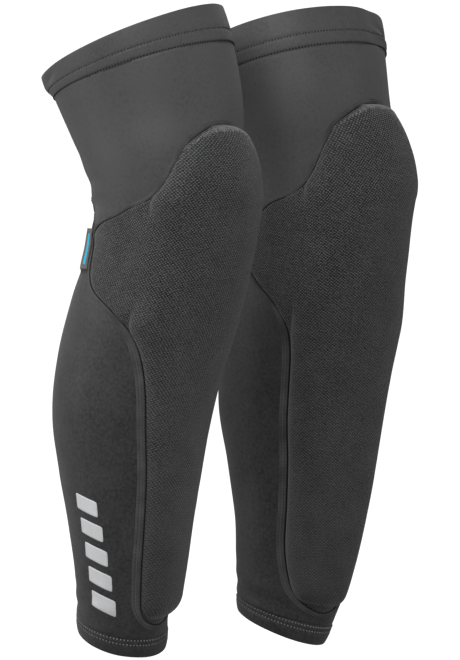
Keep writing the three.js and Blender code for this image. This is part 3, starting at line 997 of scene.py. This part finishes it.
def build_foam(side, name):
    """A foam pad that fills its share of the pocket and thins to a rounded border."""
    k = front_rows(*FOAM_ROWS[name], 2.5, side)
    left, right = foam_edges(k, side)
    t = (1 - np.cos(np.pi * np.linspace(0, 1, 41))) / 2
    angle = left[:, None] + (right - left)[:, None] * t
    z = np.broadcast_to(row_height(k, side)[:, None], angle.shape)
    top = cover_lift(z, angle, side) - COVER_WALL - 0.25
    ends = np.minimum(z - z[0, 0], z[-1, 0] - z)
    soften = np.sqrt(np.clip(1 - (1 - np.clip(ends / 3, 0, 1)) ** 2, 0, 1))
    low = FOAM_BASE + 0.5
    top = low + (top - low) * (0.55 + 0.45 * soften)
    fabric = np.stack([angle * mm_per_degree(z), z], -1)
    pad = shell_of(f"{name}_foam", z, angle, top, FOAM_BASE, FOAM, side, fabric)
    declare(pad, "foam", side, f"{name}_pad")


# ---------------- the seam round the front panel


def loop_normals(loop):
    """Unit directions out of a closed flat curve that runs anticlockwise."""
    run = np.roll(loop, -1, 0) - np.roll(loop, 1, 0)
    run /= np.linalg.norm(run, axis=1)[:, None]
    return np.stack([run[:, 1], -run[:, 0]], -1)


NORMALS = {side: loop_normals(loop) for side, loop in PANEL_LOOP.items()}

# The strip's cross-section: shares of its width out from the panel's edge, and lifts.
STRIP_PROFILE = [
    (-0.12, -0.5), (-0.1, 0.2), (0.0, 0.62), (0.1, 0.72), (0.19, 0.5), (0.26, 0.28),
    (0.33, 0.6), (0.5, 0.85), (0.67, 0.6), (0.74, 0.28), (0.81, 0.5), (0.92, 0.55),
    (1.0, 0.3), (1.04, -0.3), (1.0, -0.8), (0.5, -0.8), (0.0, -0.9),
]
STRIP_WIDTH = 6  # millimetres of its cloth


def seam_width(z):
    """The strip beside the panel is wide down the shin and narrow round the wings and over the knee."""
    return 3.2 + 3.0 * (1 - smoothstep(z, -112, -78)) - 2.2 * (1 - smoothstep(z, -316, -302))


def seam_point(s, aside, lift, side):
    """A place beside the panel's edge. s counts the edge's points, and aside is shares of the strip."""
    loop, normals = PANEL_LOOP[side], NORMALS[side]
    count = len(loop)
    s = s % count
    i = np.floor(s).astype(int) % count
    f = (s - np.floor(s))[..., None]
    base = loop[i] * (1 - f) + loop[(i + 1) % count] * f
    out = normals[i] * (1 - f) + normals[(i + 1) % count] * f
    place = base + out * (aside * seam_width(base[..., 1]))[..., None]
    z = place[..., 1]
    angle = place[..., 0] / mm_per_degree(z)
    share = smoothstep(aside, -0.1, 0.35)
    return point(z, angle, lift + share * unevenness(z, angle, side), side)


def build_seam(side):
    aside, lift = np.array(STRIP_PROFILE).T
    s = np.arange(len(PANEL_LOOP[side]))
    ss, aa = np.meshgrid(s, aside, indexing="ij")
    grid = seam_point(ss, aa, OUTER_LIFT + np.broadcast_to(lift, ss.shape), side)
    fabric = np.stack([aa * STRIP_WIDTH, ss * LOOP_STEP], -1)
    band = swept("edge_seam", grid[::-1], TAPE, side, fabric[::-1])
    declare(band, "seam_tape", side, "outer_seam", "top_seam", "inner_seam")
    for name, middle, share in (("inner", 0.12, 0.84), ("outer", 0.74, 0.45)):
        rows = edge_stitches(middle, share, side)
        piece = beads(f"seam_stitches_{name}", seam_point(*rows, side), THREAD, side)
        declare(piece, "thread", side)
    crown = beads("crown_overlock", overlock(side), PALE_THREAD, side)
    declare(crown, "thread", side)


def edge_stitches(middle, share, side):
    """Stitches along the strip. middle is how far out they lie, share their part of the pitch."""
    step = 1.85
    start = np.arange(0, len(PANEL_LOOP[side]) - step, step)[:, None, None]
    t, turn, thick = stitch_tube(0.24, 6)
    s = start + (0.08 + share * t) * step + 0 * turn
    aside = middle + thick * np.cos(turn) / STRIP_WIDTH
    lift = OUTER_LIFT + 0.32 + thick * np.sin(turn) + 0.2 * np.sin(np.pi * t)
    return s, aside, lift


def overlock(side):
    """Pale thread ends at the crown: thin bows that start at the panel's edge and lie down on the pad."""
    random = np.random.default_rng(51 if side == "right" else 52)
    loop, normals = PANEL_LOOP[side], NORMALS[side]
    top = np.flatnonzero(loop[:, 1] > loop[:, 1].max() - 14)
    start = np.arange(top.min(), top.max(), 0.45)
    start = start + random.uniform(-0.25, 0.25, len(start))
    near = bell(start, (top.min() + top.max()) / 2, len(top) * 0.3)
    reach = random.uniform(0.6, 1.2, len(start)) * (0.8 + 3.2 * near)
    lean = random.uniform(-0.6, 0.6, len(start))
    t = np.linspace(0, 1, 8)
    s = start[:, None] + lean[:, None] * t
    aside = -0.5 - reach[:, None] * t
    i = np.clip(np.round(s).astype(int), 0, len(loop) - 1)
    slip = (s - i)[..., None] * (loop[(i + 1) % len(loop)] - loop[i])
    place = loop[i] + slip + normals[i] * aside[..., None]
    z = place[..., 1]
    angle = place[..., 0] / mm_per_degree(z)
    lift = np.maximum(cover_lift(z, angle, side), OUTER_LIFT + 0.6) + 0.12 + 0.5 * np.sin(np.pi * t) ** 0.7
    turn, thick = circle(5), 0.24
    angle = angle[..., None] + thick * np.cos(turn) / mm_per_degree(z)[..., None]
    return point(z[..., None] + 0 * turn, angle, lift[..., None] + thick * np.sin(turn), side)


# ---------------- back seams, label, reflective bars


def build_back_seam(side, name, path):
    """A slim flat seam behind the knee, along a height for every angle."""
    angle = np.linspace(WING_ANGLE - 4, 360 - WING_ANGLE + 4, 150)
    turn = circle(10)
    zz = path(angle)[:, None] + 1.7 * rounded(np.cos(turn), 0.7)
    aa = np.broadcast_to(angle[:, None], zz.shape)
    lift = OUTER_LIFT + unevenness(zz, aa, side) + 0.05 + 0.5 * np.sin(turn)
    fabric = np.stack([aa, zz], -1)
    quads = grid_quads(*zz.shape, close_columns=True)[:, ::-1]
    band = mesh_of(name, point(zz, aa, lift, side), quads, TAPE, side, fabric)
    declare(band, "seam_tape", side)
    back_stitches(side, name, path)


def back_stitches(side, name, path):
    """The row of stitches along a seam behind the knee."""
    count = 64
    start = np.linspace(WING_ANGLE - 2, 360 - WING_ANGLE - 1, count)[:, None, None]
    pitch = (360 - 2 * WING_ANGLE) / count
    t, turn, thick = stitch_tube(0.28, 6)
    angle = start + pitch * (0.1 + 0.8 * t) + 0 * turn
    z = path(angle) + thick * np.cos(turn)
    lift = OUTER_LIFT + unevenness(z, angle, side) + 0.6 + thick * np.sin(turn)
    row = beads(f"{name}_stitches", point(z, angle, lift, side), THREAD, side)
    declare(row, "thread", side)


LABEL_TOP, LABEL_LENGTH, LABEL_REACH, LABEL_PLY = -17, 32, 8.6, 0.3
WING_ROWS = (9, 14)  # outline rows between which the label's seam runs


def build_label(side):
    """A folded loop of tape whose two ends are caught in the wing's seam."""
    t = np.linspace(0, 1, 22)
    out = LABEL_REACH * np.sin(np.pi / 2 * np.concatenate([t, t[::-1]]))
    rise, gap = 2.6 * t**2, 0.75 * np.cos(np.pi / 2 * t)
    stand = np.concatenate([rise + gap, (rise - gap)[::-1]])
    v = np.linspace(0, 1, 26)
    z = LABEL_TOP - LABEL_LENGTH * (1 - v)
    corner = 1 - 0.05 * (np.abs(2 * v - 1) ** 8)
    zz, oo = np.meshgrid(z, out, indexing="ij")
    k = np.linspace(*WING_ROWS, 60)
    edge = np.interp(z, row_height(k, side), OUTLINE_ROW[side](k)[:, 1])
    angle = edge[:, None] + (3.2 + oo * corner[:, None]) / mm_per_degree(zz)
    lift = OUTER_LIFT + 1.5 + stand[None, :] + 0.25 * np.sin(zz / 9)
    quads = grid_quads(*zz.shape, close_columns=True)
    fabric = np.stack([oo, LABEL_TOP - zz], -1)
    label = mesh_of("loop_label", point(zz, angle, lift, side), quads, LABEL, side, fabric)
    solid = label.modifiers.new("ply", "SOLIDIFY")
    solid.thickness = LABEL_PLY / 1000
    apply_modifiers(label)
    declare(label, "label", side, "side_label")


def apply_modifiers(piece):
    graph = bpy.context.evaluated_depsgraph_get()
    made = bpy.data.meshes.new_from_object(piece.evaluated_get(graph))
    piece.modifiers.clear()
    piece.data = made


BARS, FIRST_BAR, BAR_PITCH = 5, -232, 18.5
BAR_ANGLE, BAR_TURN = 81, 3.2
BAR_HALF_WIDTH, BAR_HALF_HEIGHT, BAR_SLANT = 9.5, 6, 2.5


def build_bars(side):
    """Slanted reflective bars, as on the CAD part, with rounded corners and soft rims."""
    v, u = np.meshgrid(np.linspace(0, 1, 17), np.linspace(0, 1, 25), indexing="ij")
    x, y = 2 * u - 1, 2 * v - 1
    corner = 0.045 * np.abs(x * y) ** 6
    x, y = x * (1 - corner), y * (1 - corner * 1.6)
    from_rim = np.minimum((1 - np.abs(x)) * BAR_HALF_WIDTH, (1 - np.abs(y)) * BAR_HALF_HEIGHT)
    for n in range(BARS):
        z = FIRST_BAR - BAR_PITCH * n + y * BAR_HALF_HEIGHT + x * BAR_SLANT
        angle = BAR_ANGLE - BAR_TURN * n + x * BAR_HALF_WIDTH / mm_per_degree(z)
        base = OUTER_LIFT + unevenness(z, angle, side)
        top = base + 0.02 + 0.2 * np.sqrt(np.clip(from_rim / 0.5, 0, 1))
        fabric = cloth_place(angle, z)
        bar = shell_of(f"bar_{n + 1}", z, angle, top, base - 0.3, FILM, side, fabric)
        declare(bar, "reflective", side, f"reflective_bar_{n + 1}", body="shin")


# ---------------- the pair

for side in ("right", "left"):
    build_sleeve(side)
    build_hems(side)
    build_cover(side)
    build_lining(side)
    for name in FOAM_ROWS:
        build_foam(side, name)
    build_seam(side)
    build_back_seam(side, "back_seam_low", level_line(BACK_LOW))
    build_back_seam(side, "back_seam_high", back_high)
    build_label(side)
    build_bars(side)

# ---------------- floor, backdrop and light

FLOOR_SIZE = 40.0  # metres from its middle to each side
FLOOR_GAP = 0.0005  # metres below the part
WORLD_LIGHT = 0.24
LIGHTS_AIM = Vector((0, 0.02, -0.1))


def floor_white():
    """Pure white to the camera, and a mid grey for all the light that it throws back."""
    n = Nodes("floor", (0.5, 0.5, 0.5), 0.9, specular=0.0)
    glow = n.add("Emission")
    n.link(n.add("LightPath").outputs["Is Camera Ray"], glow.inputs["Strength"])
    both = n.add("AddShader")
    n.link(n.shader.outputs[0], both.inputs[0])
    n.link(glow.outputs[0], both.inputs[1])
    n.link(both.outputs[0], n.tree.nodes["Material Output"].inputs["Surface"])
    return n.material


def add_floor():
    low = cad_box[0][2] - FLOOR_GAP
    corners = np.array([[-1, -1, 0], [1, -1, 0], [1, 1, 0], [-1, 1, 0]]) * FLOOR_SIZE + (0, 0, low)
    mesh = bpy.data.meshes.new("floor")
    mesh.from_pydata(corners.tolist(), [], [(0, 1, 2, 3)])
    link("floor", mesh, floor_white())


def add_area_light(name, place, size, power, shadow=True):
    data = bpy.data.lights.new(name, "AREA")
    data.shape = "RECTANGLE"
    data.size, data.size_y = size
    data.energy = power
    data.use_shadow = shadow
    lamp = bpy.data.objects.new(name, data)
    lamp.location = place
    lamp.rotation_euler = (Vector(place) - LIGHTS_AIM).to_track_quat("Z", "Y").to_euler()
    bpy.context.scene.collection.objects.link(lamp)


def seen_from_camera(near, left, up):
    """A place so many metres towards the camera, to its left and above the origin."""
    a = math.radians(AZIMUTH)
    return near * math.sin(a) - left * math.cos(a), -near * math.cos(a) - left * math.sin(a), up


def add_world():
    world = bpy.data.worlds.new("studio")
    bpy.context.scene.world = world
    world.use_nodes = True
    tree = world.node_tree
    ground = tree.nodes["Background"]
    ground.inputs["Color"].default_value = (1, 1, 1, 1)
    path = tree.nodes.new("ShaderNodeLightPath")
    strength = tree.nodes.new("ShaderNodeMapRange")
    strength.inputs["To Min"].default_value = WORLD_LIGHT
    strength.inputs["To Max"].default_value = 1.0
    tree.links.new(path.outputs["Is Camera Ray"], strength.inputs["Value"])
    tree.links.new(strength.outputs[0], ground.inputs["Strength"])


def add_lights():
    """A key light in front, a fill on the right, and a side light, part of which casts no shadow."""
    beside = seen_from_camera(0.2, 1.5, 0.5)
    add_area_light("key", seen_from_camera(0.95, 0.22, 0.8), (0.6, 0.6), 7.8)
    add_area_light("left", beside, (0.5, 0.9), 3.5)
    add_area_light("left_open", beside, (0.5, 0.9), 4.7, shadow=False)
    add_area_light("fill", seen_from_camera(0.7, -1.7, 0.6), (1.0, 1.4), 5)


add_floor()
add_world()
add_lights()
bpy.context.scene.view_settings.view_transform = "Standard"
